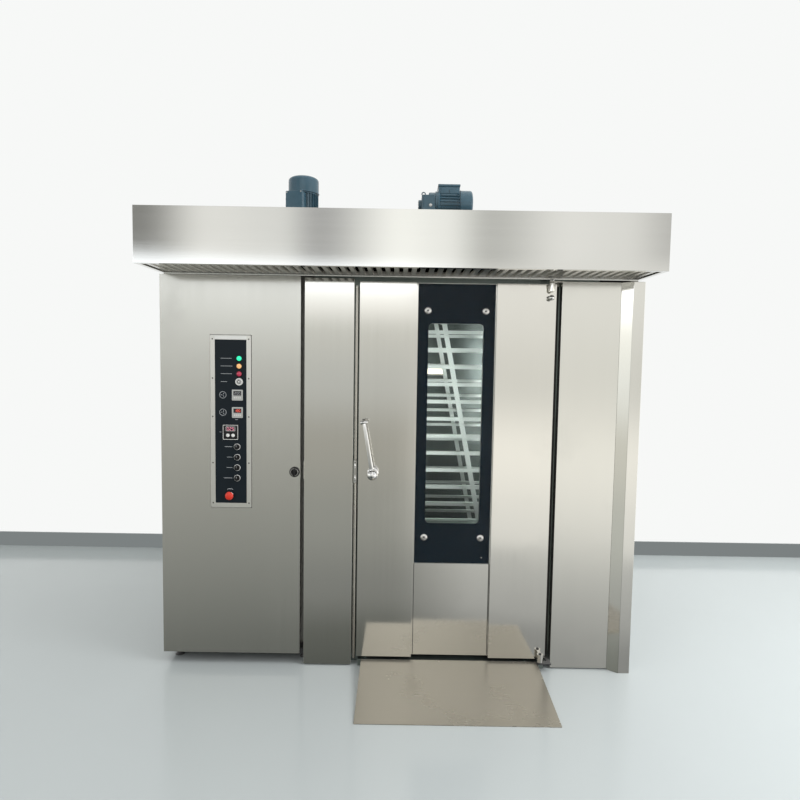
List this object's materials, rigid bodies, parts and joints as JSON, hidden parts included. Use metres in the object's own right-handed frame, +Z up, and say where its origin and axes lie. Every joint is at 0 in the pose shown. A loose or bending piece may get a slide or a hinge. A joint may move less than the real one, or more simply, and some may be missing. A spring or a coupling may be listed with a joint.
{
  "type": "rotating rack oven",
  "caption": "Free-standing baking oven with a steam hood, windowed swing door, control cabinet, ramp and a motor-turned hanging tray rack.",
  "frame": {"origin": "on the floor, at the centre of the whole oven's plan, ramp included", "axes": "+X to the right seen from the front, +Y from the front to the rear, +Z up"},
  "size_m": [2.3, 2, 2.586],
  "materials": {
    "brushed_steel": "vertical brushed grain, matte",
    "polished_steel": "fine brushed grain, near mirror",
    "hood_steel": "brushed, soft sheen",
    "lining_steel": "bright rolled sheet",
    "ramp_steel": "brushed, scuffed",
    "frame_steel": "dark satin paint",
    "chrome": "polished",
    "aluminium": "satin anodised",
    "black_glass": "dark tinted, glossy",
    "clear_glass": "clear, glossy",
    "black_plate": "smooth black sheet",
    "black_plastic": "smooth",
    "grey_plastic": "fine moulded grain",
    "red_plastic": "smooth",
    "seal": "matte silicone",
    "tyre": "smooth hard rubber",
    "motor_paint": "slate blue enamel",
    "cast_paint": "slate blue enamel on castings"
  },
  "bodies": {
    "oven_body": {"base_frame": "frame_steel", "left_side_panel": "brushed_steel", "right_side_panel": "brushed_steel", "rear_panel": "brushed_steel", "roof_panel": "brushed_steel", "duct_front_panel": "polished_steel", "right_front_panel": "polished_steel", "corner_wing": "polished_steel", "latch_post": "chrome", "electrical_plate": "grey_plastic", "chamber_floor": "lining_steel", "duct_wall": "lining_steel", "chamber_right_wall": "lining_steel", "chamber_rear_wall": "lining_steel", "chamber_roof": "lining_steel", "door_frame": "lining_steel", "duct_housing": "lining_steel", "hood_shell": "hood_steel", "baffle_left": "polished_steel", "baffle_middle": "polished_steel", "baffle_right": "polished_steel", "ramp": "ramp_steel", "top_hinge_bracket": "chrome", "bottom_hinge_bracket": "frame_steel", "drive_stand": "frame_steel", "gearbox": "cast_paint", "gearmotor": "motor_paint", "fan_stand": "frame_steel", "fan_motor": "motor_paint"},
    "oven_door": {"door_leaf": "polished_steel", "outer_glass": "black_glass", "inner_glass": "clear_glass", "door_liner": "lining_steel", "door_gasket": "seal", "handle_rose": "chrome"},
    "handle": {"door_handle": "chrome"},
    "control_door": {"cabinet_door": "brushed_steel", "panel_frame": "aluminium", "panel_plate": "black_plate", "display_upper": "grey_plastic", "display_lower": "grey_plastic", "timer": "grey_plastic"},
    "lock": {"lock_knob": "black_plastic"},
    "switch_1": {"selector_1": "black_plastic"},
    "switch_2": {"selector_2": "black_plastic"},
    "switch_3": {"selector_3": "black_plastic"},
    "switch_4": {"selector_4": "black_plastic"},
    "stop_button": {"emergency_stop": "red_plastic"},
    "tray_rack": {"rack_hanger": "brushed_steel", "rack_front_side": "brushed_steel", "rack_rear_side": "brushed_steel", "rack_top": "brushed_steel", "rack_base": "brushed_steel"},
    "caster_front": {"caster_fork_front": "brushed_steel"},
    "caster_rear": {"caster_fork_rear": "brushed_steel"},
    "swivel_wheel_front": {"wheel_swivel_front": "tyre"},
    "swivel_wheel_rear": {"wheel_swivel_rear": "tyre"},
    "fixed_wheel_front": {"wheel_fixed_front": "tyre"},
    "fixed_wheel_rear": {"wheel_fixed_rear": "tyre"},
    "fan": {"impeller": "brushed_steel"}
  },
  "joints": [
    {"name": "door_swing", "type": "hinge", "parent": "oven_body", "child": "oven_door", "pos_m": [0.712, -0.548, 0.97], "axis": [0, 0, 1], "range_deg": [0, 120]},
    {"name": "handle_turn", "type": "hinge", "parent": "oven_door", "child": "handle", "pos_m": [-0.122, -0.56, 0.973], "axis": [0, 1, 0], "range_deg": [0, 80]},
    {"name": "control_door_swing", "type": "hinge", "parent": "oven_body", "child": "control_door", "pos_m": [-1.1465, -0.4925, 0.985], "axis": [0, 0, -1], "range_deg": [0, 100]},
    {"name": "lock_turn", "type": "hinge", "parent": "control_door", "child": "lock", "pos_m": [-0.503, -0.52, 0.97], "axis": [0, -1, 0], "range_deg": [0, 90]},
    {"name": "stop_push", "type": "slide", "parent": "control_door", "child": "stop_button", "axis": [0, 1, 0], "range_m": [0, 0.005]},
    {"name": "rack_turn", "type": "hinge", "parent": "oven_body", "child": "tray_rack", "pos_m": [0.274, 0.26, 1], "axis": [0, 0, 1], "continuous": true},
    {"name": "fan_spin", "type": "hinge", "parent": "oven_body", "child": "fan", "pos_m": [-0.587, 0.235, 1.7], "axis": [0, 0, 1], "continuous": true},
    {"name": "switch_1_turn", "type": "hinge", "parent": "control_door", "child": "switch_1", "pos_m": [-0.781, -0.524, 1.089], "axis": [0, 1, 0], "range_deg": [0, 90]},
    {"name": "switch_2_turn", "type": "hinge", "parent": "control_door", "child": "switch_2", "pos_m": [-0.781, -0.524, 1.038], "axis": [0, 1, 0], "range_deg": [0, 90]},
    {"name": "switch_3_turn", "type": "hinge", "parent": "control_door", "child": "switch_3", "pos_m": [-0.781, -0.524, 0.987], "axis": [0, 1, 0], "range_deg": [0, 90]},
    {"name": "switch_4_turn", "type": "hinge", "parent": "control_door", "child": "switch_4", "pos_m": [-0.781, -0.524, 0.936], "axis": [0, 1, 0], "range_deg": [0, 90]},
    {"name": "caster_swivel_front", "type": "hinge", "parent": "tray_rack", "child": "caster_front", "pos_m": [-0.101, 0.015, 0.12], "axis": [0, 0, 1], "continuous": true},
    {"name": "swivel_wheel_spin_front", "type": "hinge", "parent": "caster_front", "child": "swivel_wheel_front", "pos_m": [-0.129, 0.015, 0.095], "axis": [0, 1, 0], "continuous": true},
    {"name": "fixed_wheel_spin_front", "type": "hinge", "parent": "tray_rack", "child": "fixed_wheel_front", "pos_m": [0.649, 0.015, 0.095], "axis": [0, 1, 0], "continuous": true},
    {"name": "caster_swivel_rear", "type": "hinge", "parent": "tray_rack", "child": "caster_rear", "pos_m": [-0.101, 0.505, 0.12], "axis": [0, 0, 1], "continuous": true},
    {"name": "swivel_wheel_spin_rear", "type": "hinge", "parent": "caster_rear", "child": "swivel_wheel_rear", "pos_m": [-0.129, 0.505, 0.095], "axis": [0, 1, 0], "continuous": true},
    {"name": "fixed_wheel_spin_rear", "type": "hinge", "parent": "tray_rack", "child": "fixed_wheel_rear", "pos_m": [0.649, 0.505, 0.095], "axis": [0, 1, 0], "continuous": true}
  ]
}
